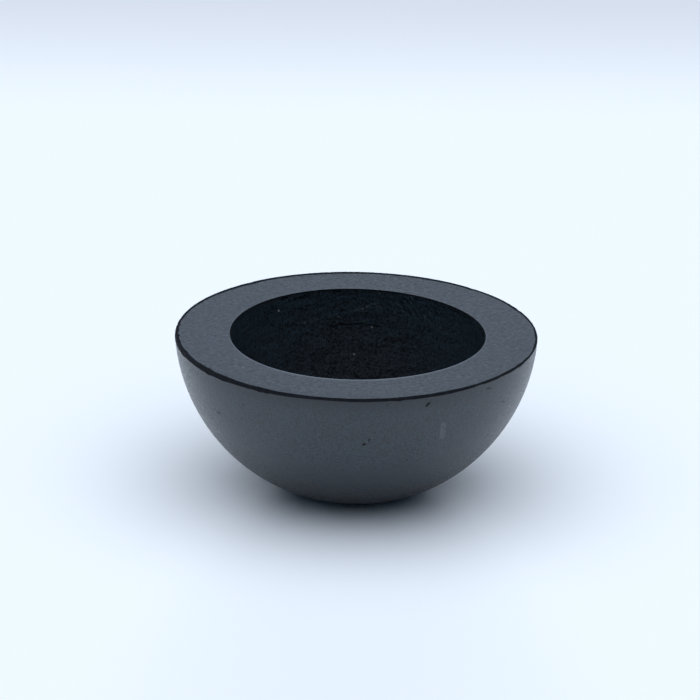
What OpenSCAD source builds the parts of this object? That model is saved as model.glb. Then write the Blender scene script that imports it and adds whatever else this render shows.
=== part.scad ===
// Stone bowl, carved from one ball of stone: sawn flat at the rim and at the foot, then hollowed.
// Millimetres, +Z up. The origin is the centre of the flat that the bowl stands on.

/* [Outer form] */
// Diameter of the ball that the outer wall follows
ball_d = 70; // [50:0.5:110]
// Depth of the rim's saw cut below the ball's widest circle
rim_drop = 2.3; // [0.5:0.1:8]
// Diameter of the flat that the bowl stands on
foot_d = 21; // [14:0.5:44]

/* [Hollow] */
// Width of the flat ring between the outer wall and the mouth of the hollow
rim_w = 10.3; // [6:0.1:16]
// Thickness of stone under the deepest point of the hollow
floor_t = 8.5; // [3:0.1:14]

/* [Eased edges] */
// Width of the bevel on the rim's outer edge, measured across the rim
rim_bevel_w = 0.4; // [0.1:0.05:1.5]
// Height of the bevel on the rim's outer edge, measured down the wall
rim_bevel_h = 0.5; // [0.1:0.05:2]
// Width of the bevel on the edge of the mouth, measured across the rim
mouth_bevel_w = 0.2; // [0.05:0.05:1]
// Height of the bevel on the edge of the mouth, measured down the hollow
mouth_bevel_h = 0.2; // [0.05:0.05:1]

/* [Hidden] */

$fn = 180;
// How far a cutter reaches past the face that it cuts
overcut = 1;

// The ball's centre stands above the rim by rim_drop, and the foot is where the ball is foot_d wide.
ball_r = ball_d / 2;
ball_z = chord_distance(ball_r, foot_d / 2);
bowl_h = ball_z - rim_drop;
rim_r = chord_radius(ball_r, rim_drop);

// The hollow is part of a sphere through the edge of the mouth and the point floor_t above the foot.
mouth_r = rim_r - rim_w;
hollow_depth = bowl_h - floor_t;
hollow_r = (mouth_r * mouth_r + hollow_depth * hollow_depth) / (2 * hollow_depth);
hollow_z = floor_t + hollow_r;

// Radius of the circle cut from a sphere of radius r by a plane at distance d from its centre
function chord_radius(r, d) = sqrt(r * r - d * d);

// Distance from the centre of a sphere of radius r to the plane that cuts a circle of radius c
function chord_distance(r, c) = sqrt(r * r - c * c);

// Ball of stone, sawn flat at the foot and at the rim
module sawn_ball() {
    intersection() {
        translate([0, 0, ball_z]) sphere(d = ball_d);
        cylinder(h = bowl_h, d = ball_d + 2 * overcut);
    }
}

// Ball-shaped hollow, ground in from the rim
module hollow() {
    translate([0, 0, hollow_z]) sphere(r = hollow_r);
}

// Ring that bevels the rim's outer edge. Its face passes through a point on the rim and one on the wall,
// and runs on past both.
module rim_bevel() {
    top = [rim_r - rim_bevel_w, bowl_h];
    low = [chord_radius(ball_r, rim_drop + rim_bevel_h), bowl_h - rim_bevel_h];
    past_top = 2 * top - low;
    past_low = 2 * low - top;
    outside = rim_r + rim_bevel_w + overcut;
    rotate_extrude() polygon([past_low, [outside, past_low.y], [outside, past_top.y], past_top]);
}

// Ring that bevels the edge of the mouth. Its face passes through a point on the rim and one in the hollow,
// and runs on past both.
module mouth_bevel() {
    top = [mouth_r + mouth_bevel_w, bowl_h];
    low_z = bowl_h - mouth_bevel_h;
    low = [chord_radius(hollow_r, hollow_z - low_z), low_z];
    past_top = 2 * top - low;
    past_low = 2 * low - top;
    inside = mouth_r - 2 * mouth_bevel_w - overcut;
    rotate_extrude() polygon([past_low, past_top, [inside, past_top.y], [inside, past_low.y]]);
}

module bowl() {
    color("#3d444c") difference() {
        sawn_ball();
        hollow();
        rim_bevel();
        mouth_bevel();
    }
}

bowl();
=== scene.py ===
"""Black stone bowl on a pale studio floor.

The bowl is one stone: a ball sawn flat at the rim and at the foot, honed outside, and hollowed with a
grinding wheel. Its surface is one closed grid: rings round the upright axis, set along a profile that runs
from the middle of the foot up the wall, over the rim and down to the deepest point of the hollow. Shapes are
worked out in millimetres and written to the mesh in metres.
"""

import logging
import math
from collections.abc import Callable, Mapping
from dataclasses import dataclass, replace
from enum import Enum
from typing import Any

import bpy
import numpy as np
from mathutils import Matrix, Vector


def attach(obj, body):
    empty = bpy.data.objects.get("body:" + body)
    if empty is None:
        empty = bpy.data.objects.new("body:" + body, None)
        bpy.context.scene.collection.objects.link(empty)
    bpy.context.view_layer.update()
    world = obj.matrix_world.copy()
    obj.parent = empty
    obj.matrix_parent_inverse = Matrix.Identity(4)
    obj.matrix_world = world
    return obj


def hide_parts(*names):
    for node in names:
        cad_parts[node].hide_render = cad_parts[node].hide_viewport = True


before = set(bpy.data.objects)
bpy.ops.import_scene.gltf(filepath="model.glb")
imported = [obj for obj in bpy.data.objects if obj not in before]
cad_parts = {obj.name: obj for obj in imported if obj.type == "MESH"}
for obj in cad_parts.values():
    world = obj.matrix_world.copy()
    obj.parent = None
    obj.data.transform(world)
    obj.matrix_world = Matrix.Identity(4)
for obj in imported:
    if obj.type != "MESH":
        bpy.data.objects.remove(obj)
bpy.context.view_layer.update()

log = logging.getLogger("stone_bowl")

Array = np.ndarray
Tree = bpy.types.NodeTree
Node = bpy.types.Node
Rows = tuple[tuple[float, ...], ...]
Waves = tuple[tuple[float, int, float], ...]
MM = 0.001
TURN = 2 * math.pi


class Zone(Enum):
    """The parts of the bowl's surface, in the order in which the profile meets them."""

    FOOT = 0
    WALL = 1
    BEVEL = 2
    RIM = 3
    MOUTH = 4
    HOLLOW = 5


def linear(colour: str) -> tuple[float, ...]:
    """The linear red, green, blue and alpha that a shader takes for an sRGB colour such as #192730."""
    shares = (int(colour[i : i + 2], 16) / 255 for i in (1, 3, 5))
    return *(s / 12.92 if s <= 0.04045 else ((s + 0.055) / 1.055) ** 2.4 for s in shares), 1.0


def add(tree: Tree, kind: str, inputs: Mapping[str | int, Any] | None = None, **settings: Any) -> Node:
    """Adds one node with its settings and links.

    Args:
        tree: the node tree that gets it.
        kind: the node's type, without the word that all shader nodes start with.
        inputs: by a socket's name or number, a value, or the node or output to link from.
        settings: the node's own properties.

    Returns:
        The new node.
    """
    node = tree.nodes.new("ShaderNode" + kind)
    for name, value in settings.items():
        setattr(node, name, value)
    for key, value in (inputs or {}).items():
        used = [s for s in node.inputs if s.enabled]
        socket = node.inputs[key] if isinstance(key, int) else next(s for s in used if s.name == key)
        if isinstance(value, Node):
            value = next(s for s in value.outputs if s.enabled)
        if isinstance(value, bpy.types.NodeSocket):
            tree.links.new(value, socket)
        else:
            socket.default_value = value
    return node


def put(name: str, data: Any) -> bpy.types.Object:
    """Makes an object and links it into the scene.

    Args:
        name: the object's name.
        data: its mesh, light or camera.

    Returns:
        The object.
    """
    made = bpy.data.objects.new(name, data)
    bpy.context.scene.collection.objects.link(made)
    return made


def smooth_step(low: float, high: float, value: Array) -> Array:
    """Rises smoothly from 0 at low to 1 at high, as the cubic 3t^2 - 2t^3."""
    share = np.clip((value - low) / (high - low), 0, 1)
    return share * share * (3 - 2 * share)


def straight(start: Array, end: Array, steps: int) -> Array:
    """Profile points (radius, height), evenly spaced along each column's straight line from start to end."""
    share = np.linspace(0, 1, steps + 1)[:, None, None]
    return start + share * (end - start)


def eased(before: Array, corner: Array, after: Array, steps: int) -> Array:
    """Profile points that round off each column's corner: the quadratic curve that is pulled towards it."""
    share = np.linspace(0, 1, steps + 1)[:, None, None]
    return (1 - share) ** 2 * before + 2 * share * (1 - share) * corner + share**2 * after


def on_arc(radius: Array | float, centre_height: float, angle: Array) -> Array:
    """Profile points of a circle about a point on the axis, at angles in radians from straight down."""
    return np.stack([radius * np.sin(angle), centre_height - radius * np.cos(angle)], axis=-1)


def around(points: Array, bearing: Array) -> Array:
    """Carries profile points round the axis to each column's bearing: (r cos b, r sin b, z)."""
    radius, height = points[..., 0], points[..., 1]
    return np.stack([radius * np.cos(bearing), radius * np.sin(bearing), height], axis=-1)


def swell(places: Array, length: float, count: int, seed: int) -> Array:
    """Smooth uneven swell, near -1 to 1: the sum of sine waves that run in random directions.

    Args:
        places: points in millimetres, coordinates last.
        length: the waves' mean length in millimetres. Each has 0.7 to 1.4 times this.
        count: how many waves there are.
        seed: what their directions, lengths and phases are drawn from.

    Returns:
        One value for each point.
    """
    draw = np.random.default_rng(seed)
    ways = draw.normal(size=(places.shape[-1], count))
    ways *= TURN / (length * draw.uniform(0.7, 1.4, count) * np.linalg.norm(ways, axis=0))
    return np.sin(places @ ways + draw.uniform(0, TURN, count)).sum(-1) * math.sqrt(2 / count) / 2


def ripples(bearing: Array, waves: Waves) -> Array:
    """The sum of waves round the bowl, each size * sin(count * bearing + phase)."""
    return sum(size * np.sin(count * bearing + phase) for size, count, phase in waves)


def bells(bearing: Array, size: Array, middle: Array, reach: Array) -> Array:
    """The sum of bells round the bowl, each size * exp(-(angle from its middle / its reach)^2)."""
    apart = np.angle(np.exp(1j * (bearing[:, None] - middle)))
    return (size * np.exp(-((apart / reach) ** 2))).sum(-1)


def spot(bearing: float, radius: float, height: float) -> Vector:
    """The place in metres at a bearing in degrees from +X to +Y, a radius and a height in millimetres."""
    turn = math.radians(bearing)
    return Vector((radius * math.cos(turn), radius * math.sin(turn), height)) * MM


@dataclass(frozen=True)
class Mark:
    """One of the pits, grains or scratches that show in the photograph, or a line of painted highlight or
    painted
    shade: a stroke between two places in metres.

    width is in millimetres. tone runs from -1, all in the pit colour, to 1, all in the ore colour.
    """

    start: Vector
    end: Vector
    width: float
    tone: float


def drawn(place: Callable[[float, float], Vector], rows: Rows) -> tuple[Mark, ...]:
    """The marks that rows describe, with place turning each end's two numbers into a point."""
    return tuple(Mark(place(*row[:2]), place(*row[2:4]), *row[4:]) for row in rows)


@dataclass(frozen=True)
class Streaks:
    """Fine parallel scratches left by one abrasive pass. They lie in planes square to the pass's axis.

    spacing, length and depth are the scratches' mean sizes in millimetres, and tone is their share of the
    stone's tone. tilt and bearing turn the axis from upright, in degrees.
    """

    spacing: float
    length: float
    tone: float
    depth: float = 0.004
    tilt: float = 0.0
    bearing: float = 0.0


@dataclass(frozen=True)
class StoneFinish:
    """One finish of the black stone. Lengths and heights are in millimetres, and shares are of its tone.

    stone is its colour, and worn the colour and worn_roughness the added roughness where the mesh's worn
    share is 1. That share stands for wear, and also for painted shade low on the wall and just below its
    edge, for a painted highlight at the front of the mouth and for painted light in the upper hollow. cloud
    and grain are the sizes of its slow haze and of its grain. They change its tone by their shares and its
    roughness by their swings, and the grain its height. Scattered pits lie one to a cell, and speck_rarity of
    the cells are bare. The marks' edges wander by ragged_by in patches of ragged_size, and the grain breaks
    up marks that are longer than breaks_over and narrower than thin.
    """

    name: str
    stone: str
    wear_and_painted_light: str
    roughness: float
    cloud: float
    cloud_share: float
    grain: float
    grain_share: float
    grain_height: float
    streaks: tuple[Streaks, ...]
    # pit colours the dark marks and ore the pale ones: pits, grains and scratches, and in the hollow also
    # painted shade and painted highlight along a facet, and glints painted on pale grains.
    pit_and_shade: str = "#06080A"
    ore_and_highlight: str = "#8D959C"
    ior: float = 1.5
    specular: float = 0.5
    roughness_swing: float = 0.15
    worn_roughness: float = 0.0
    cloud_swing: float = 0.1
    grain_detail: float = 2.0
    least_tone: float = 0.15
    speck_cell: float = 3.4
    speck_width: float = 0.5
    speck_rarity: float = 0.7
    speck_tone: float = 0.6
    pit_depth: float = 0.05
    ragged_size: float = 0.5
    ragged_by: float = 0.3
    breaks_over: float = 1.0
    thin: float = 0.8

    def material(self, marks: tuple[Mark, ...] = ()) -> bpy.types.Material:
        """Makes the finish as a procedural material on Object coordinates.

        Args:
            marks: the pits, grains and scratches to draw at their places.

        Returns:
            The material.
        """
        made = bpy.data.materials.new(self.name)
        made.use_nodes = True
        tree = made.node_tree
        tree.nodes.clear()
        place = add(tree, "TexCoord").outputs["Object"]
        cloud = add(tree, "TexNoise", {"Vector": place, "Scale": 1 / (self.cloud * MM), "Detail": 3.0})
        fine = {"Scale": 1 / (self.grain * MM), "Detail": self.grain_detail, "Roughness": 0.65}
        grain = add(tree, "TexNoise", {"Vector": place, **fine})
        tone = self.layered(tree, 1.0, [(cloud, self.cloud_share), (grain, self.grain_share)])
        height = self.layered(tree, 0.0, [(grain, self.grain_height)])
        for sweep in self.streaks:
            streak = self.streak(tree, place, sweep)
            tone = self.layered(tree, tone, [(streak, sweep.tone)])
            height = self.layered(tree, height, [(streak, sweep.depth)])
        tone = add(tree, "Math", {0: tone, 1: self.least_tone}, operation="MAXIMUM")
        wear_and_painted_light = add(tree, "Attribute", attribute_name="wear_and_painted_light").outputs["Fac"]
        broken = add(tree, "MapRange", {"Value": grain, "From Min": 0.36, "From Max": 0.56})
        ragged = self.ragged(tree, place)
        dark = self.strokes(tree, ragged, broken, [m for m in marks if m.tone < 0], self.specks(tree, place))
        pale = self.strokes(tree, ragged, broken, [m for m in marks if m.tone > 0], 0.0)
        both = {"A": linear(self.stone), "B": linear(self.wear_and_painted_light)}
        colour = add(tree, "Mix", {"Factor": wear_and_painted_light, **both}, data_type="RGBA")
        colour = add(tree, "VectorMath", {0: colour, "Scale": tone}, operation="SCALE")
        for mask, other in ((dark, self.pit_and_shade), (pale, self.ore_and_highlight)):
            colour = add(tree, "Mix", {"Factor": mask, "A": colour, "B": linear(other)}, data_type="RGBA")
        # Pits swallow the light that enters them, so they lose their gloss as well; the painted shade drawn
        # in their colour loses it with them.
        black = {"A": linear("#FFFFFF"), "B": linear("#000000")}
        gloss = add(tree, "Mix", {"Factor": dark, **black}, data_type="RGBA")
        height = add(tree, "Math", {0: dark, 1: -self.pit_depth, 2: height}, operation="MULTIPLY_ADD")
        dull = {0: wear_and_painted_light, 1: self.worn_roughness, 2: self.roughness}
        roughness = add(tree, "Math", dull, operation="MULTIPLY_ADD")
        roughness = self.layered(tree, roughness, [(cloud, self.cloud_swing), (grain, self.roughness_swing)])
        surface = {
            "Base Color": colour,
            "Roughness": roughness,
            "Normal": add(tree, "Bump", {"Height": height, "Distance": MM, "Strength": 1.0}),
            "IOR": self.ior,
            "Specular IOR Level": self.specular,
            "Specular Tint": gloss,
        }
        add(tree, "OutputMaterial", {"Surface": add(tree, "BsdfPrincipled", surface)})
        return made

    @staticmethod
    def layered(tree: Tree, start: Any, layers: list[tuple[Any, float]]) -> Any:
        """Adds patterns to a value, each by its share and counted from its middle value of one half.

        Args:
            tree: the material's nodes.
            start: the value that the patterns are added to, a number or an output.
            layers: each pattern and its share.

        Returns:
            The node that holds the sum.
        """
        total = start
        for pattern, share in layers:
            centred = add(tree, "Math", {0: pattern, 1: 0.5}, operation="SUBTRACT")
            total = add(tree, "Math", {0: centred, 1: share, 2: total}, operation="MULTIPLY_ADD")
        return total

    @staticmethod
    def streak(tree: Tree, place: Any, sweep: Streaks) -> Node:
        """Noise that is short along the pass's axis and long across it, which draws fine parallel lines.

        Args:
            tree: the material's nodes.
            place: the Object coordinates.
            sweep: the pass.

        Returns:
            The node that holds the noise.
        """
        stretch = (sweep.length * MM, sweep.length * MM, sweep.spacing * MM)
        turn = (math.radians(sweep.tilt), 0.0, math.radians(sweep.bearing))
        along = {"Vector": place, "Rotation": turn, "Scale": stretch}
        turned = add(tree, "Mapping", along, vector_type="TEXTURE")
        return add(tree, "TexNoise", {"Vector": turned, "Scale": 1.0, "Detail": 2.0, "Roughness": 0.6})

    def specks(self, tree: Tree, place: Any) -> Node:
        """Small scattered pits: one at a random place in each cell, of a random size. Most cells are bare.

        Args:
            tree: the material's nodes.
            place: the Object coordinates.

        Returns:
            The node that rises from 0 to its most in each of these pits.
        """
        cells = add(tree, "TexVoronoi", {"Vector": place, "Scale": 1 / (self.speck_cell * MM)})
        chance = add(tree, "SeparateColor", {"Color": cells.outputs["Color"]}).outputs["Red"]
        most = self.speck_width / 2 / self.speck_cell
        reach = add(tree, "MapRange", {"Value": chance, "From Min": self.speck_rarity, "To Max": most})
        inside = add(tree, "Math", {0: reach, 1: cells.outputs["Distance"]}, operation="SUBTRACT")
        return add(tree, "MapRange", {"Value": inside, "From Max": most / 2, "To Max": self.speck_tone})

    def ragged(self, tree: Tree, place: Any) -> Node:
        """Object coordinates shifted a little by noise, so that the marks drawn on them have ragged edges.

        Args:
            tree: the material's nodes.
            place: the Object coordinates.

        Returns:
            The node that holds the shifted coordinates.
        """
        shift = add(tree, "TexNoise", {"Vector": place, "Scale": 1 / (self.ragged_size * MM), "Detail": 2.0})
        about_zero = {0: shift.outputs["Color"], 1: (0.5,) * 3}
        shift = add(tree, "VectorMath", about_zero, operation="SUBTRACT")
        by = (self.ragged_by * MM,) * 3
        return add(tree, "VectorMath", {0: shift, 1: by, 2: place}, operation="MULTIPLY_ADD")

    def strokes(self, tree: Tree, place: Any, broken: Any, marks: list[Mark], start: Any) -> Any:
        """The strongest of several marks' masks at each point. The grain breaks up the long thin ones.

        Args:
            tree: the material's nodes.
            place: the coordinates to measure from.
            broken: a 0 to 1 pattern that breaks them up.
            marks: the marks to draw.
            start: a mask to begin with, a number or an output.

        Returns:
            The combined mask, or start if there are no marks.
        """
        strongest = start
        for mark in marks:
            mask = self.stroke(tree, place, mark)
            if (mark.end - mark.start).length > self.breaks_over * MM and mark.width < self.thin:
                mask = add(tree, "Math", {0: mask, 1: broken}, operation="MULTIPLY")
            strongest = add(tree, "Math", {0: strongest, 1: mask}, operation="MAXIMUM")
        return strongest

    @staticmethod
    def stroke(tree: Tree, place: Any, mark: Mark) -> Node:
        """A mark's mask: full within a quarter of its width of its line, and 0 past half of its width.

        Args:
            tree: the material's nodes.
            place: the coordinates to measure from.
            mark: the mark to draw.

        Returns:
            The node that holds the mask.
        """
        run = mark.end - mark.start
        nearest = place
        if run.length > 0:
            from_start = add(tree, "VectorMath", {0: place, 1: mark.start}, operation="SUBTRACT")
            per_run = run / run.length_squared
            share = add(tree, "VectorMath", {0: from_start, 1: per_run}, operation="DOT_PRODUCT")
            held = add(tree, "Clamp", {"Value": share.outputs["Value"]})
            along = add(tree, "VectorMath", {0: run, "Scale": held}, operation="SCALE")
            nearest = add(tree, "VectorMath", {0: place, 1: along}, operation="SUBTRACT")
        away = add(tree, "VectorMath", {0: nearest, 1: mark.start}, operation="DISTANCE").outputs["Value"]
        half = mark.width / 2 * MM
        fade = {"Value": away, "From Min": half, "From Max": half / 2, "To Max": abs(mark.tone)}
        return add(tree, "MapRange", fade, interpolation_type="SMOOTHSTEP")


# Shungite honed wet with fine grit: near-black stone under a soft grey bloom, satin, with faint haze. Just
# below the edge at the front and the back, and down towards the foot, the stone is darker and duller; the
# darker colour there is painted shade.
# Its own grain is finer than the picture can show, so it is drawn two pixels wide, and four on the rim.
HONED = StoneFinish(
    name="shungite_honed_wall", stone="#192730", wear_and_painted_light="#08131C",
    roughness=0.34, roughness_swing=0.5, worn_roughness=0.15, ior=1.62,
    cloud=9.0, cloud_share=0.4, grain=0.45, grain_detail=1.0, grain_share=3.4, grain_height=0.058,
    breaks_over=9.0,
    streaks=(
        Streaks(spacing=0.5, length=22, tone=0.3),
        Streaks(tilt=90, bearing=25, spacing=0.45, length=14, tone=0.3),
        Streaks(tilt=90, bearing=110, spacing=0.55, length=12, tone=0.3),
    ),
)

# The rim, sawn flat and honed on a plate: grey and satin, with a pale line where the wheel frayed the edge of
# the mouth. At the front that line is broader, and the breadth is a painted highlight.
SAWN = StoneFinish(
    name="shungite_sawn_honed_rim", stone="#282E35", wear_and_painted_light="#5E6670",
    roughness=0.38, roughness_swing=0.6, cloud_swing=0.04, ior=1.6,
    cloud=9.0, cloud_share=0.2, grain=0.8, grain_detail=1.0, grain_share=1.8, grain_height=0.06,
    streaks=(
        Streaks(tilt=90, bearing=25, spacing=0.5, length=14, tone=0.4),
        Streaks(tilt=90, bearing=110, spacing=0.6, length=12, tone=0.4),
    ),
)

# The same stone rubbed by hand along the outer edge: the bloom is gone, and the edge is black and dull. Its
# line on the rim broadens at the back, and the black of that breadth is painted shade.
RUBBED = StoneFinish(
    name="shungite_rubbed_edge", stone="#161A1F", wear_and_painted_light="#2A2F35", pit_and_shade="#050607", ore_and_highlight="#767E86",
    roughness=0.7, specular=0.1,
    cloud=4.0, cloud_share=0.8, grain=0.4, grain_share=1.5, grain_height=0.012,
    speck_cell=2.0, speck_width=0.3,
    streaks=(Streaks(spacing=0.15, length=9, tone=0.6),),
)

# The edge of the mouth, broken by the wheel and rounded by handling: bare black stone that drinks the light.
BROKEN = replace(
    RUBBED,
    name="shungite_broken_edge", stone="#090C0F", wear_and_painted_light="#3A424B",
    roughness=0.6,
    cloud=3.0, cloud_share=0.5, grain_share=0.8, grain_height=0.008,
    speck_width=0.25,
    streaks=(Streaks(spacing=0.12, length=8, depth=0.003, tone=0.4),),
)

# The same stone cut with a coarse wheel and left so: black, with short scratches that sweep round in several
# passes. Towards the mouth it is a little greyer: painted light that lifts the upper hollow out of its shade.
GROUND = StoneFinish(
    name="shungite_ground_hollow", stone="#121C24", wear_and_painted_light="#1A272F", pit_and_shade="#020304", ore_and_highlight="#9AA2A6",
    roughness=0.55, roughness_swing=0.3, specular=0.15,
    cloud=5.0, cloud_share=0.4, grain=0.42, grain_share=4.4, grain_height=0.02,
    speck_cell=2.2, speck_width=0.4, ragged_by=0.6,
    streaks=(
        Streaks(spacing=0.45, length=5, depth=0.02, tone=1.1),
        Streaks(tilt=25, bearing=-20, spacing=0.45, length=4, depth=0.012, tone=0.8),
        Streaks(tilt=30, bearing=150, spacing=0.45, length=4, depth=0.012, tone=0.8),
    ),
)

# The foot, lapped flat on a plate: grey like the honed wall, duller, with straight scratches several ways.
LAPPED = StoneFinish(
    name="shungite_lapped_foot", stone="#3A4047", wear_and_painted_light="#59626C",
    roughness=0.55,
    cloud=6.0, cloud_share=0.5, grain=0.5, grain_share=0.8, grain_height=0.01,
    speck_cell=2.4,
    streaks=(
        Streaks(tilt=90, bearing=15, spacing=0.4, length=16, depth=0.008, tone=0.8),
        Streaks(tilt=90, bearing=70, spacing=0.5, length=18, depth=0.008, tone=0.7),
        Streaks(tilt=90, bearing=130, spacing=0.45, length=12, depth=0.008, tone=0.7),
    ),
)


# The pits, grains and scratches that the photograph shows, as strokes: where each starts and where it ends,
# its width in millimetres and its tone. A place is a bearing in degrees and a depth below the rim, or on the
# rim a bearing and a radius. On the wall the last three rows are the pale scuff at the right.
WALL_MARKS: Rows = (
    (-67.1, 2.2, -66.3, 1.75, 0.7, -0.8),
    (-79.8, 1.35, -79.8, 1.35, 0.4, -0.7),
    (-87.0, 10.05, -86.5, 9.9, 0.7, -0.8),
    (-85.3, 9.15, -84.9, 8.85, 0.6, -0.8),
    (-86.3, 9.75, -84.2, 8.55, 0.3, 0.14),
    (-141.5, 8.65, -140.2, 8.65, 0.5, -0.9),
    (-128.0, 4.55, -127.7, 4.55, 0.4, -0.6),
    (-129.8, 7.75, -129.8, 7.85, 0.4, -0.6),
    (-44.3, 1.45, -42.4, 1.75, 0.3, -0.8),
    (-35.3, 5.85, -32.8, 6.45, 0.35, -0.8),
    (-116.3, 17.85, -116.1, 17.95, 0.45, -0.6),
    (-112.8, 19.35, -112.6, 19.35, 0.45, -0.6),
    (-94.2, 16.35, -94.0, 16.45, 0.4, -0.6),
    (-60.7, 6.95, -60.5, 10.15, 0.4, 0.16),
    (-60.1, 6.55, -58.7, 9.85, 0.4, 0.16),
    (-60.2, 7.0, -59.6, 10.0, 1.3, 0.10),
)

RIM_MARKS: Rows = (
    (-175.5, 27.2, -175.5, 27.4, 0.5, -0.7),
    (-26.6, 28.1, -24.8, 29.8, 0.25, -0.4),
)

# In the hollow the bright grains come first: pale grains whose glints are painted on as paler colour. Then
# come the edge of the large facet, a painted highlight along its upper edge, the lines under it, painted
# shade across the facet and along its lower edge, the steep scratches beside it, and long faint ones farther
# off.
HOLLOW_MARKS: Rows = (
    # Pale grains, their glints painted on as paler colour.
    (128.4, 2.6, 128.4, 2.6, 0.6, 0.5),
    (82.3, 7.1, 82.3, 7.1, 0.5, 0.3),
    (91.2, 11.9, 90.6, 11.9, 0.5, 0.14),
    (79.6, 0.6, 79.6, 0.6, 0.5, 0.10),
    (74.4, 2.0, 74.4, 2.0, 0.5, 0.10),
    (98.7, 5.2, 98.3, 5.2, 0.5, 0.09),
    (115.2, 5.8, 114.9, 5.8, 0.45, 0.08),
    (72.2, 3.95, 71.8, 4.0, 0.5, 0.08),
    (121.0, 1.1, 120.6, 1.1, 0.5, 0.06),
    (58.3, 9.4, 58.0, 9.4, 0.5, 0.05),
    (46.8, 4.9, 46.5, 4.9, 0.5, 0.05),
    # Painted highlight along the large facet's upper edge.
    (87.5, 3.7, 86.9, 3.6, 0.5, 0.09),
    (85.1, 3.3, 84.7, 3.2, 0.5, 0.10),
    (84.9, 3.25, 82.0, 2.7, 0.4, 0.06),
    (82.0, 2.7, 78.1, 3.4, 0.4, 0.07),
    (92.4, 4.2, 87.5, 3.7, 0.4, 0.04),
    # Painted shade across the facet and along its lower edge.
    (90.0, 4.9, 76.0, 4.7, 1.6, -0.3),
    (103.0, 7.05, 98.6, 6.7, 0.4, -0.7),
    (98.6, 6.7, 87.3, 6.55, 0.5, -0.9),
    (87.3, 6.55, 83.4, 6.7, 0.5, -0.9),
    (83.4, 6.7, 79.4, 6.9, 0.5, -0.9),
    (99.4, 6.2, 85.4, 6.05, 0.35, 0.04),
    (70.3, 1.2, 63.9, 3.9, 0.3, -0.9),
    (67.3, 1.0, 59.7, 3.9, 0.3, -0.9),
    (65.2, 0.7, 57.1, 3.3, 0.3, -0.9),
    (62.5, 0.6, 55.6, 3.2, 0.3, -0.9),
    (71.5, 2.0, 65.7, 4.2, 0.3, 0.05),
    (68.8, 1.1, 61.9, 3.9, 0.3, 0.05),
    (66.2, 0.8, 58.4, 3.7, 0.3, 0.05),
    (64.6, 0.4, 63.3, 1.0, 0.4, 0.10),
    (56.6, 3.5, 55.6, 4.2, 0.35, 0.08),
    (53.8, 2.65, 52.6, 3.3, 0.35, 0.08),
    (115.8, 11.5, 99.8, 11.7, 0.35, -0.7),
    (124.8, 11.6, 120.2, 11.6, 0.35, -0.7),
    (145.3, 1.9, 129.0, 2.1, 0.4, -0.5),
    (126.0, 0.5, 98.0, 0.35, 0.9, -0.7),
    (122.0, 1.2, 112.0, 0.8, 0.9, -0.6),
    (74.0, 0.3, 42.0, 0.3, 0.6, -0.6),
    (133.0, 7.3, 117.7, 8.2, 0.35, -0.5),
)


@dataclass(frozen=True)
class Facet:
    """A patch of the hollow that one touch of the wheel cut lower, or that two passes left standing proud.

    bearing is in degrees. depth is its middle's depth below the rim, length runs round the hollow and width
    up it, and rise is how far its middle stands proud, negative where it was cut lower, all in millimetres.
    lean turns it, in degrees.
    """

    bearing: float
    depth: float
    length: float
    width: float
    rise: float
    lean: float


@dataclass(frozen=True)
class Band:
    """One run of the profile: its zone, points by step, column and (radius, height), and its share of wear
    and painted light.

    worn holds the shares at the first and the last step, each one number or one for each column.
    """

    zone: Zone
    points: Array
    wear_and_painted_light: tuple[Array | float, Array | float] = (0.0, 0.0)

    def wear_and_light_shares(self) -> Array:
        """Each point's share of wear and painted light, evenly from the first step's to the last step's."""
        first, last = (np.broadcast_to(share, self.points.shape[1]) for share in self.wear_and_painted_light)
        return np.linspace(first, last, len(self.points))


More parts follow.
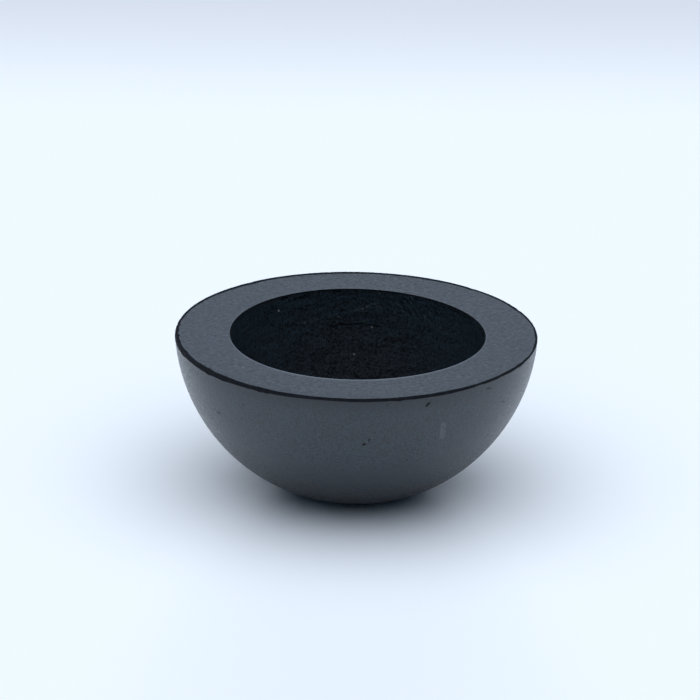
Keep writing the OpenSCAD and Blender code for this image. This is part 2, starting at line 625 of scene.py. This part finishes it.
@dataclass(frozen=True)
class Bowl:
    """The stone bowl: its sizes in millimetres, and the methods that build its mesh and dress it.

    The sizes down to bevel_h are the CAD model's. The others add what the hand-worked stone has besides: a
    bevel and edge lines that change round the rim, as shares of their mean sizes, a mouth out of round, nicks
    and swells. Where the dark edge line broadens at the back it is painted shade, and where the pale mouth
    line broadens at the front it is a painted highlight. Waves are given as (size, count round the bowl,
    phase in radians), those of the mouth with the bearing of a crest, and bells as (size, bearing, reach),
    with bearings and reaches in degrees. Steps count the rows of the grid.
    """

    ball_r: float = 35.0
    rim_drop: float = 2.3
    foot_r: float = 10.5
    rim_w: float = 10.3
    floor_t: float = 8.5
    bevel_w: float = 0.4
    bevel_h: float = 0.5
    bevel_highest: float = -140.0
    bevel_h_mean: float = 0.7
    bevel_h_swing: float = 0.8
    bevel_h_least: float = 0.08
    bevel_h_soft: float = 0.02
    bevel_w_mean: float = 0.42
    bevel_w_swing: float = 0.12
    bevel_least: float = 0.2
    bevel_waves: Waves = ((0.07, 5, 1.0), (0.05, 13, 2.5))
    nicks: int = 40
    nick_sizes: tuple[float, float] = (0.05, 0.4)
    nick_reaches: tuple[float, float] = (0.6, 1.6)
    edge_line: float = 0.27
    edge_least: float = 0.1
    edge_back_shade: float = 2.8
    edge_turn: float = 0.15
    edge_bells: Rows = (
        (-0.55, -105, 42), (0.6, -47, 18), (-0.4, -8, 14), (-0.7, 162, 9), (0.7, 187, 14), (0.8, -151, 11),
    )
    edge_waves: Waves = ((0.2, 11, 1.9), (0.15, 29, 0.0), (0.1, 67, 0.0))
    rim_fall: float = 0.05
    rim_fall_w: float = 3.0
    rim_dip: float = 0.012
    mouth_ease: float = 0.2
    mouth_line: float = 0.1
    mouth_highlight_front: float = 0.7
    mouth_line_waves: Waves = ((0.05, 9, 0.7),)
    mouth_waves: Waves = ((0.14, 1, 49.0), (0.14, 2, 92.0), (0.23, 3, 111.0))
    corner_ease: float = 0.06
    wall_swell: float = 0.04
    hollow_swell: float = 0.10
    wheel_step: float = 0.012
    wheel_gaps: tuple[float, float] = (1.9, 1.13)
    facets: int = 46
    columns: int = 480
    first_ring: float = 0.8
    wall_steps: int = 52
    foot_shade_steps: int = 12
    bloom_step: int = 27
    edge_steps: int = 10
    rim_steps: int = 14
    hollow_steps: int = 103
    mouth_light_steps: int = 30
    seed: int = 11

    @property
    def bearing(self) -> Array:
        """Bearing of each column of the grid in radians."""
        return np.arange(self.columns) * (TURN / self.columns)

    @property
    def ball_z(self) -> float:
        """Height of the ball's centre above the foot."""
        return math.sqrt(self.ball_r**2 - self.foot_r**2)

    @property
    def rim_z(self) -> float:
        """Height of the rim above the foot."""
        return self.ball_z - self.rim_drop

    @property
    def rim_r(self) -> float:
        """Radius of the ball where the rim cuts it."""
        return math.sqrt(self.ball_r**2 - self.rim_drop**2)

    @property
    def widest(self) -> float:
        """Radius of the CAD model's widest circle, at the lower edge of its bevel."""
        return math.sqrt(self.ball_r**2 - (self.rim_drop + self.bevel_h) ** 2)

    @property
    def mouth_r(self) -> float:
        """Radius of the hollow's mouth."""
        return self.rim_r - self.rim_w

    @property
    def hollow_r(self) -> float:
        """Radius of the hollow's sphere, through the mouth and the point floor_t above the foot."""
        depth = self.rim_z - self.floor_t
        return (self.mouth_r**2 + depth**2) / (2 * depth)

    @property
    def hollow_z(self) -> float:
        """Height of that sphere's centre."""
        return self.floor_t + self.hollow_r

    @property
    def mouth_angle(self) -> float:
        """Polar angle from straight down at which the hollow meets its eased mouth."""
        return math.asin(self.mouth_r / self.hollow_r) - self.mouth_ease / self.hollow_r

    def polar(self, depth: float) -> float:
        """Polar angle from straight down of the hollow's sphere at a depth below the rim."""
        return math.acos((self.hollow_z - self.rim_z + depth) / self.hollow_r)

    def on_wall(self, bearing: float, depth: float) -> Vector:
        """The spot on the outer wall at a bearing and a depth below the rim."""
        return spot(bearing, math.sqrt(self.ball_r**2 - (self.rim_drop + depth) ** 2), self.rim_z - depth)

    def on_rim(self, bearing: float, radius: float) -> Vector:
        """The spot on the rim at a bearing and a radius."""
        return spot(bearing, radius, self.rim_z)

    def in_hollow(self, bearing: float, depth: float) -> Vector:
        """The spot on the hollow's uneven surface at a bearing and about a depth below the rim."""
        angle, turn = np.array([[self.polar(depth)]]), np.array([math.radians(bearing)])
        return spot(bearing, *self.hollow_points(angle, turn)[0, 0].tolist())

    def bevel_sizes(self) -> tuple[Array, Array]:
        """Width and height of the hand-rubbed bevel round the rim.

        The height is one harmonic about bevel_highest, held softly above bevel_h_least. The width is a second
        harmonic, least at the front and the back. Both have ripples and a narrow bell for each nick.

        Returns:
            A width and a height in millimetres for each column.
        """
        turned = self.bearing - math.radians(self.bevel_highest)
        over = self.bevel_h_mean + self.bevel_h_swing * np.cos(turned) - self.bevel_h_least
        held = self.bevel_h_least + (over + np.sqrt(over**2 + self.bevel_h_soft)) / 2
        ripple = ripples(self.bearing, self.bevel_waves)
        draw = np.random.default_rng(self.seed)
        middle = draw.uniform(0, TURN, self.nicks)
        reach = np.radians(draw.uniform(*self.nick_reaches, self.nicks))
        size = draw.uniform(*self.nick_sizes, self.nicks) * draw.choice([1, 1, -0.5], self.nicks)
        nicks = bells(self.bearing, size, middle, reach)
        wide = self.bevel_w_mean + self.bevel_w_swing * np.cos(2 * self.bearing) + ripple + nicks
        wide, high = (np.maximum(share, self.bevel_least) for share in (wide, held * (1 + ripple) + nicks))
        return self.bevel_w * wide, self.bevel_h * high

    def edge_width(self) -> Array:
        """Width of the rubbed line along the rim's outer edge.

        Its mean, with bells where it is broader or narrower, the sine of the turned bearing at the back, and
        ripples that make it uneven. The breadth that the sine adds at the back is painted shade.

        Returns:
            A width in millimetres for each column.
        """
        share = 1 + self.edge_back_shade * np.maximum(np.sin(self.bearing - self.edge_turn), 0)
        size, middle, reach = np.array(self.edge_bells).T
        share += bells(self.bearing, size, np.radians(middle), np.radians(reach))
        share += ripples(self.bearing, self.edge_waves)
        return self.edge_line * np.maximum(share, self.edge_least)

    def mouth_line_width(self) -> Array:
        """Width of the pale line round the mouth in each column, broad at the front only as a painted
        highlight.
        """
        front = np.maximum(-np.sin(self.bearing), 0) ** 1.5
        return self.mouth_line + self.mouth_highlight_front * front + ripples(self.bearing, self.mouth_line_waves)

    def on_dressed_rim(self, radius: Array) -> Array:
        """Points of the rim, which hand dressing let fall a little towards its outer edge at the front.

        The fall grows with the square of the distance over the last rim_fall_w, and fades with the sine of
        the bearing to nothing at the sides.

        Args:
            radius: the points' radii, columns last.

        Returns:
            The points (radius, height).
        """
        outer = np.maximum(radius - self.rim_r + self.rim_fall_w, 0) / self.rim_fall_w
        fall = self.rim_fall * np.maximum(-np.sin(self.bearing), 0) * outer**2
        return np.stack([radius, self.rim_z - fall], axis=-1)

    def mouth_offset(self, bearing: Array) -> Array:
        """How far the mouth lies outside its circle at each bearing in radians: the sum of waves round it."""
        waves = ((size, n, math.pi / 2 - n * math.radians(crest)) for size, n, crest in self.mouth_waves)
        return ripples(bearing, tuple(waves))

    def hollow_facets(self) -> list[Facet]:
        """Draws the facets of the hollow.

        Returns:
            The large one that the photograph shows, and seeded ones all round.
        """
        draw = np.random.default_rng(self.seed + 1)
        shown = [Facet(bearing=86, depth=4.75, length=11.0, width=3.8, rise=0.10, lean=-4)]
        deepest = self.rim_z - self.floor_t - 3.0
        scattered = [
            Facet(
                bearing=draw.uniform(0, 360),
                depth=draw.uniform(2.0, deepest),
                length=draw.uniform(5, 13),
                width=draw.uniform(1.8, 4.2),
                rise=draw.uniform(0.02, 0.06) * draw.choice([1, -1]),
                lean=draw.normal(0, 12),
            )
            for _ in range(self.facets)
        ]
        return shown + scattered

    def hollow_relief(self, angle: Array, bearing: Array) -> Array:
        """Unevenness of the hollow, as stone added towards its middle.

        The sum of a slow swell, shallow rings from the wheel's steps down the hollow, and a dome or dish for
        each facet: its rise times (1 - q) squared, where q is the squared distance from its middle over its
        half sizes, and nothing past q = 1.

        Args:
            angle: polar angle of each point from straight down, by row and column.
            bearing: bearing of each column.

        Returns:
            The relief in millimetres.
        """
        places = around(on_arc(self.hollow_r, self.hollow_z, angle), bearing)
        relief = self.hollow_swell * swell(places, length=17.0, count=9, seed=self.seed + 2)
        coarse, fine = (TURN * self.hollow_r * angle / gap for gap in self.wheel_gaps)
        drift = 2.2 * swell(places, length=12.0, count=7, seed=self.seed + 3)
        rings = np.sin(coarse + drift) + 0.6 * np.sin(fine - 1.7 * drift)
        strength = 0.5 + 0.5 * swell(places, length=9.0, count=7, seed=self.seed + 4)
        relief += self.wheel_step * rings * strength
        centre = np.array([0.0, 0.0, self.hollow_z])
        for facet in self.hollow_facets():
            turn, lean = math.radians(facet.bearing), math.radians(facet.lean)
            middle = around(on_arc(self.hollow_r, self.hollow_z, np.array(self.polar(facet.depth))), turn)
            side = np.array([-math.sin(turn), math.cos(turn), 0.0])
            inward = (centre - middle) / self.hollow_r
            up = np.cross(inward, side)
            away = places - middle
            across = away @ (side * math.cos(lean) + up * math.sin(lean)) / (facet.length / 2)
            along = away @ (up * math.cos(lean) - side * math.sin(lean)) / (facet.width / 2)
            beyond = np.maximum(away @ inward, 0) / facet.width
            q = across**2 + along**2 + beyond**2
            relief += facet.rise * np.clip(1 - q, 0, None) ** 2
        return relief

    def hollow_points(self, angle: Array, bearing: Array) -> Array:
        """Profile points of the hollow: its sphere, moved out by the mouth's offset and in by the relief.

        The offset fades downwards with the fourth power of the angle's sine, and the relief fades out in the
        last 0.8 mm below the mouth.

        Args:
            angle: polar angle of each point from straight down, by row and column.
            bearing: bearing of each column.

        Returns:
            The points (radius, height), by row and column.
        """
        offset = self.mouth_offset(bearing) * np.sin(angle) ** 4
        room = (self.mouth_angle - angle) * self.hollow_r
        relief = self.hollow_relief(angle, bearing) * smooth_step(0.0, 0.8, room)
        return on_arc(self.hollow_r + offset - relief, self.hollow_z, angle)

    def wall_points(self, high: Array) -> Array:
        """Points of the wall, from its eased foot up to its eased edge, the rows closer together higher up.

        The wall is the ball, less a slow swell that fades out in the last 0.6 mm at either end, and nowhere
        wider than the CAD model.

        Args:
            high: the polar angle from straight down at which each column ends.

        Returns:
            The points (radius, height), by row and column.
        """
        low = math.asin(self.foot_r / self.ball_r) + self.corner_ease / self.ball_r
        rise = 1 - (1 - np.linspace(0, 1, self.wall_steps + 1)[:, None]) ** 1.5
        angle = low + rise * (high - low)
        room = np.minimum(angle - low, high - angle) * self.ball_r
        places = around(on_arc(self.ball_r, self.ball_z, angle), self.bearing)
        relief = -self.wall_swell * (0.5 + 0.5 * swell(places, length=22.0, count=9, seed=self.seed + 5))
        wall = on_arc(self.ball_r + relief * smooth_step(0.0, 0.6, room), self.ball_z, angle)
        wall[..., 0] = np.minimum(wall[..., 0], self.widest)
        return wall

    def bands(self) -> list[Band]:
        """The profile of every column, from the foot to the bottom of the hollow.

        Returns:
            The bands in order, each starting where the last one ends.
        """
        bearing = self.bearing
        ones = np.ones_like(bearing)

        def ring(radius: Array | float, height: Array | float) -> Array:
            """One profile point for each column."""
            return np.stack([radius * ones, height * ones], axis=-1)

        bevel_w, bevel_h = self.bevel_sizes()
        ease = np.minimum(self.corner_ease, 0.25 * np.minimum(bevel_w, bevel_h))
        foot_end, foot_edge = ring(self.foot_r - self.corner_ease, 0.0), ring(self.foot_r, 0.0)
        end = np.arccos((self.rim_drop + bevel_h) / self.ball_r)
        wall = self.wall_points(end - ease / self.ball_r)
        bevel_low = on_arc(self.ball_r, self.ball_z, end)
        bevel_low[..., 0] = np.minimum(bevel_low[..., 0], self.widest)
        bevel_top = self.on_dressed_rim(self.rim_r - bevel_w)
        slope = bevel_top - bevel_low
        slope = ease[:, None] * slope / np.linalg.norm(slope, axis=-1, keepdims=True)
        edge_start = self.on_dressed_rim(bevel_top[:, 0] - ease)
        edge_end = self.on_dressed_rim(edge_start[:, 0] - self.edge_width())
        mouth = ring(self.mouth_r + self.mouth_offset(bearing), self.rim_z)
        line_end = mouth + ring(self.mouth_ease, 0.0)
        line_start = line_end + ring(self.mouth_line_width(), 0.0)
        rim = self.on_dressed_rim(straight(edge_end, line_start, self.rim_steps)[..., 0])
        share = np.linspace(0, 1, self.rim_steps + 1)[:, None]
        dip = 0.5 + 0.5 * swell(around(rim, bearing), length=14.0, count=7, seed=self.seed + 6)
        inside = smooth_step(0, 0.15, np.minimum(share, 1 - share))
        rim[..., 1] -= self.rim_dip * np.maximum(dip, 0) * inside
        last = math.asin(self.first_ring / self.hollow_r)
        angle = np.linspace(self.mouth_angle, last, self.hollow_steps + 1)[:, None] * ones
        hollow = self.hollow_points(angle, bearing)
        return [
            Band(Zone.FOOT, straight(ring(self.first_ring, 0.0), foot_end, steps=10)),
            # From the foot up, the wall takes the darker colour, which fades out higher up: painted shade.
            Band(Zone.WALL, eased(foot_end, foot_edge, wall[0], steps=3), wear_and_painted_light=(1.0, 1.0)),
            Band(Zone.WALL, wall[: self.foot_shade_steps + 1], wear_and_painted_light=(1.0, 1.0)),
            Band(Zone.WALL, wall[self.foot_shade_steps : self.bloom_step + 1], wear_and_painted_light=(1.0, 0.0)),
            Band(Zone.WALL, wall[self.bloom_step : -self.edge_steps]),
            # Just below the edge the darker colour returns at the front and the back: painted shade.
            Band(Zone.WALL, wall[-self.edge_steps - 1 :], wear_and_painted_light=(0.0, np.sin(bearing) ** 2)),
            Band(Zone.BEVEL, eased(wall[-1], bevel_low, bevel_low + slope, steps=3)),
            Band(Zone.BEVEL, straight(bevel_low + slope, bevel_top - slope, steps=4)),
            Band(Zone.BEVEL, eased(bevel_top - slope, bevel_top, edge_start, steps=3)),
            Band(Zone.BEVEL, straight(edge_start, edge_end, steps=2)),
            Band(Zone.RIM, rim),
            # The pale line round the mouth: frayed stone, broadened at the front by a painted highlight.
            Band(Zone.RIM, straight(line_start, line_end, steps=2), wear_and_painted_light=(0.0, 1.0)),
            Band(Zone.MOUTH, eased(line_end, mouth, hollow[0], steps=6)),
            # Paler towards the mouth: painted light on the upper hollow.
            Band(Zone.HOLLOW, hollow[: self.mouth_light_steps + 1], wear_and_painted_light=(1.0, 0.2)),
            Band(Zone.HOLLOW, hollow[self.mouth_light_steps :], wear_and_painted_light=(0.2, 0.0)),
        ]

    def build(self) -> bpy.types.Object:
        """Builds the closed mesh, its zones as material slots, its shares of wear and painted light and its
        own UV map.

        Returns:
            The bowl's object, at the origin.
        """
        bands = self.bands()
        profile = np.concatenate([bands[0].points] + [band.points[1:] for band in bands[1:]])
        wear_and_painted_light = np.concatenate([bands[0].wear_and_light_shares()] + [band.wear_and_light_shares()[1:] for band in bands[1:]])
        strips = np.concatenate([np.full(len(band.points) - 1, band.zone.value) for band in bands])
        rings = around(profile, self.bearing).reshape(-1, 3)
        deepest = profile[-1, :, 1].mean() - self.first_ring**2 / (2 * self.hollow_r)
        vertices = np.concatenate([rings, [[0.0, 0.0, 0.0], [0.0, 0.0, deepest]]])
        grid = np.arange(len(rings)).reshape(len(profile), self.columns)
        after = np.roll(grid, -1, axis=1)
        quads = np.stack([grid[:-1], after[:-1], after[1:], grid[1:]], axis=-1).reshape(-1, 4)
        foot_fan = np.stack([np.full(self.columns, len(rings)), after[0], grid[0]], axis=-1)
        hollow_fan = np.stack([np.full(self.columns, len(rings) + 1), grid[-1], after[-1]], axis=-1)
        faces = quads.tolist() + foot_fan.tolist() + hollow_fan.tolist()
        ends = np.repeat([Zone.FOOT.value, Zone.HOLLOW.value], self.columns)
        zones = np.concatenate([np.repeat(strips, self.columns), ends])
        mesh = bpy.data.meshes.new("stone_bowl")
        mesh.from_pydata((vertices * MM).tolist(), [], faces)
        mesh.polygons.foreach_set("material_index", zones.astype(np.int32))
        shares = np.concatenate([wear_and_painted_light.ravel(), [0.0, 0.0]]).astype(np.float32)
        mesh.attributes.new("wear_and_painted_light", "FLOAT", "POINT").data.foreach_set("value", shares)
        self.lay_out(mesh, profile, strips, zones)
        mesh.shade_smooth()
        mesh.update()
        return put("stone_bowl", mesh)

    def lay_out(self, mesh: bpy.types.Mesh, profile: Array, strips: Array, zones: Array) -> None:
        """Lays the UV map out as two discs, each point as far from the middle as it is along the profile.

        The foot and the wall are one disc, and the rest is the other, so the only seam is the lower edge of
        the bevel. The discs lie corner to corner across the square.

        Args:
            mesh: the bowl's mesh.
            profile: the grid's points by row, column and (radius, height).
            strips: the zone of each strip between two rows.
            zones: the zone of each face.
        """
        steps = np.linalg.norm(np.diff(profile, axis=0), axis=-1).mean(1)
        run = self.first_ring + np.concatenate([[0], np.cumsum(steps)])
        outer = run[int((strips < Zone.BEVEL.value).sum())]
        inner = run[-1] + self.first_ring - outer
        gap = 0.006
        scale = (math.sqrt(2) / (1 + math.sqrt(2)) - 3 * gap) / (outer + inner)
        way = np.stack([np.cos(self.bearing), np.sin(self.bearing)], axis=-1)
        middles = np.array([[gap + outer * scale] * 2, [1 - gap - inner * scale] * 2])
        reach = scale * np.stack([run, outer + inner - run])
        discs = (middles[:, None, None] + reach[:, :, None, None] * way).reshape(2, -1, 2)
        discs = np.concatenate([discs, np.stack([middles, middles])], axis=1)
        corner = np.empty(len(mesh.loops), np.int32)
        mesh.loops.foreach_get("vertex_index", corner)
        sides = np.empty(len(mesh.polygons), np.int32)
        mesh.polygons.foreach_get("loop_total", sides)
        disc = np.repeat((zones >= Zone.BEVEL.value).astype(np.int32), sides)
        places = discs[disc, corner].astype(np.float32)
        mesh.uv_layers.new(name="OFBake").data.foreach_set("uv", places.ravel())

    def dress(self, bowl: bpy.types.Object) -> None:
        """Gives each zone its finish, and ties the bowl to the frame.

        Args:
            bowl: the object that build made.
        """
        finishes = {
            Zone.FOOT: LAPPED.material(),
            Zone.WALL: HONED.material(drawn(self.on_wall, WALL_MARKS)),
            Zone.BEVEL: RUBBED.material(),
            Zone.RIM: SAWN.material(drawn(self.on_rim, RIM_MARKS)),
            Zone.MOUTH: BROKEN.material(),
            Zone.HOLLOW: GROUND.material(drawn(self.in_hollow, HOLLOW_MARKS)),
        }
        for zone in Zone:
            bowl.data.materials.append(finishes[zone])
        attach(bowl, "root")
        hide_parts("bowl")


@dataclass(frozen=True)
class Cap:
    """A round cap of the sky about an axis tilted back from upright and leant to the right, in degrees.

    Its share rises smoothly from 0 to 1 as the cosine of the angle from the axis goes from low to high.
    """

    tilt: float
    low: float
    high: float
    lean: float = 0.0

    def share(self, tree: Tree, way: Any) -> Node:
        """Adds the nodes that give the cap's share in a direction.

        Args:
            tree: the world's nodes.
            way: the direction.

        Returns:
            The node that holds the share.
        """
        turn, lean = math.radians(self.tilt), math.radians(self.lean)
        axis = (math.sin(lean), math.cos(lean) * math.sin(turn), math.cos(lean) * math.cos(turn))
        cosine = add(tree, "VectorMath", {0: way, 1: axis}, operation="DOT_PRODUCT").outputs["Value"]
        rise = {"Value": cosine, "From Min": self.low, "From Max": self.high}
        return add(tree, "MapRange", rise, interpolation_type="SMOOTHSTEP")


@dataclass(frozen=True)
class Studio:
    """The pale floor, the soft light and the camera at the photograph's angle. Lengths are in metres."""

    near: str = "#EFF8FF"
    far: str = "#D5DCE4"
    fade_start: float = 0.215
    fade_end: float = 0.320
    floor_half: float = 4.0
    lamp: Cap = Cap(tilt=-6.5, low=0.39, high=0.962, lean=-1.2)
    lamp_colour: str = "#F2F2F7"
    fill: str = "#0D2F45"
    lamp_peak: float = 1.99
    back_height: float = 4.0
    back_reach: float = 13.0
    back_strength: float = 2.75
    backdrop: str = "#E4EBF4"
    horizon: str = "#C0D2E7"
    dim: str = "#1C1E21"
    dim_side: Cap = Cap(tilt=-25, low=0.15, high=0.70)
    elevation: float = 20.66
    roll: float = 1.0
    distance: float = 1.4
    sensor: float = 36.0
    picture: int = 700
    ball_centre_px: tuple[float, float] = (356.4, 322.6)
    ball_radius_px: float = 182.1

    def lay_floor(self) -> bpy.types.Object:
        """Lays the matt floor, white near the bowl and a little greyer far behind, where the grey is painted
        shade.

        Returns:
            The floor's object.
        """
        half = self.floor_half
        corners = [(-half, -half, 0), (half, -half, 0), (half, half, 0), (-half, half, 0)]
        mesh = bpy.data.meshes.new("floor")
        mesh.from_pydata(corners, [], [(0, 1, 2, 3)])
        paper = bpy.data.materials.new("matt_paper")
        paper.use_nodes = True
        tree = paper.node_tree
        tree.nodes.clear()
        place = add(tree, "TexCoord").outputs["Object"]
        # Greyer far behind the bowl: painted shade where the light falls off.
        depth = add(tree, "SeparateXYZ", {"Vector": place}).outputs["Y"]
        fade = {"Value": depth, "From Min": self.fade_start, "From Max": self.fade_end}
        share = add(tree, "MapRange", fade, interpolation_type="SMOOTHSTEP")
        both = {"A": linear(self.near), "B": linear(self.far)}
        colour = add(tree, "Mix", {"Factor": share, **both}, data_type="RGBA")
        matt = {"Base Color": colour, "Roughness": 0.9, "Specular IOR Level": 0.0}
        add(tree, "OutputMaterial", {"Surface": add(tree, "BsdfPrincipled", matt)})
        mesh.materials.append(paper)
        floor = put("floor", mesh)
        return floor

    def light_world(self) -> bpy.types.World:
        """Lights the scene from a broad soft cap overhead.

        What lights surfaces is white, with a faint blue fill from all sides. What reflections see is a pale
        surround that dims overhead and behind the camera. Past the floor the camera sees a pale backdrop.

        Returns:
            The scene's world.
        """
        world = bpy.data.worlds.new("soft_studio")
        world.use_nodes = True
        world.cycles.sampling_method = "NONE"
        tree = world.node_tree
        tree.nodes.clear()
        way = add(tree, "TexCoord").outputs["Generated"]
        peak = [self.lamp_peak * level for level in linear(self.lamp_colour)[:3]]
        lit = add(tree, "VectorMath", {0: peak, "Scale": self.lamp.share(tree, way)}, operation="SCALE")
        lit = add(tree, "VectorMath", {0: lit, 1: linear(self.fill)[:3]}, operation="ADD")
        both = {"A": linear(self.horizon), "B": linear(self.dim)}
        shown = add(tree, "Mix", {"Factor": self.dim_side.share(tree, way), **both}, data_type="RGBA")
        rays = add(tree, "LightPath").outputs
        mirrored = {0: rays["Is Glossy Ray"], 1: rays["Is Transmission Ray"]}
        seen = add(tree, "Math", mirrored, operation="MAXIMUM")
        colour = add(tree, "Mix", {"Factor": seen, "A": lit, "B": shown}, data_type="RGBA")
        behind = {"Factor": rays["Is Camera Ray"], "A": colour, "B": linear(self.backdrop)}
        colour = add(tree, "Mix", behind, data_type="RGBA")
        glow = add(tree, "Background", {"Color": colour, "Strength": 1.0})
        add(tree, "OutputWorld", {"Surface": glow})
        bpy.context.scene.world = world
        return world

    def light_back(self) -> bpy.types.Object:
        """Adds the broad low light from behind the bowl, which lights matt surfaces and isn't seen itself.

        Returns:
            The light's object.
        """
        data = bpy.data.lights.new("back_light", "SUN")
        data.energy = self.back_strength
        data.color = linear(self.lamp_colour)[:3]
        data.angle = 2 * math.radians(self.back_reach)
        lift = math.radians(self.back_height)
        light = put("back_light", data)
        way = Vector((0, -math.cos(lift), -math.sin(lift)))
        light.rotation_euler = way.to_track_quat("-Z", "Y").to_euler()
        light.visible_camera = light.visible_glossy = light.visible_transmission = False
        return light

    def set_camera(self, ball_centre: Vector, ball_radius: float) -> bpy.types.Object:
        """Sets the camera so that the ball's outline lies where it does in the photograph.

        The camera looks down by elevation and is rolled a little. It stands off the line through the ball's
        centre by as much as the centre lies off the picture's middle.

        Args:
            ball_centre: centre of the ball that the wall follows.
            ball_radius: its radius.

        Returns:
            The camera's object.
        """
        down, roll = math.radians(self.elevation), math.radians(self.roll)
        level, upright = Vector((1, 0, 0)), Vector((0, math.sin(down), math.cos(down)))
        back = Vector((0, -math.cos(down), math.sin(down)))
        right = math.cos(roll) * level + math.sin(roll) * upright
        up = math.cos(roll) * upright - math.sin(roll) * level
        focal_px = self.ball_radius_px * math.sqrt(self.distance**2 - ball_radius**2) / ball_radius
        x_px = self.ball_centre_px[0] - self.picture / 2
        y_px = self.picture / 2 - self.ball_centre_px[1]
        stand = ball_centre + self.distance * (back - right * x_px / focal_px - up * y_px / focal_px)
        data = bpy.data.cameras.new("photo_camera")
        data.sensor_width = self.sensor
        data.lens = focal_px * self.sensor / self.picture
        data.clip_start, data.clip_end = 0.05, 20.0
        camera = put("photo_camera", data)
        camera.matrix_world = Matrix.Translation(stand) @ Matrix((right, up, back)).transposed().to_4x4()
        bpy.context.scene.camera = camera
        return camera


def write_sizes() -> None:
    """Brings the view layer up to date."""
    bpy.context.view_layer.update()


def main() -> None:
    """Builds the bowl, the floor, the light and the camera in order, and reports each."""
    logging.basicConfig(level=logging.INFO, format="%(name)s: %(message)s")
    bpy.context.scene.view_settings.view_transform = "Standard"
    bowl = Bowl()
    piece = bowl.build()
    bowl.dress(piece)
    log.info("%s: %d faces, %d finishes", piece.name, len(piece.data.polygons), len(piece.data.materials))
    studio = Studio()
    log.info("%s: laid", studio.lay_floor().name)
    log.info("%s: lit", studio.light_world().name)
    log.info("%s: lit", studio.light_back().name)
    camera = studio.set_camera(Vector((0, 0, bowl.ball_z * MM)), bowl.ball_r * MM)
    log.info("%s: %.0f mm lens", camera.name, camera.data.lens)
    write_sizes()


if __name__ == "__main__":
    main()
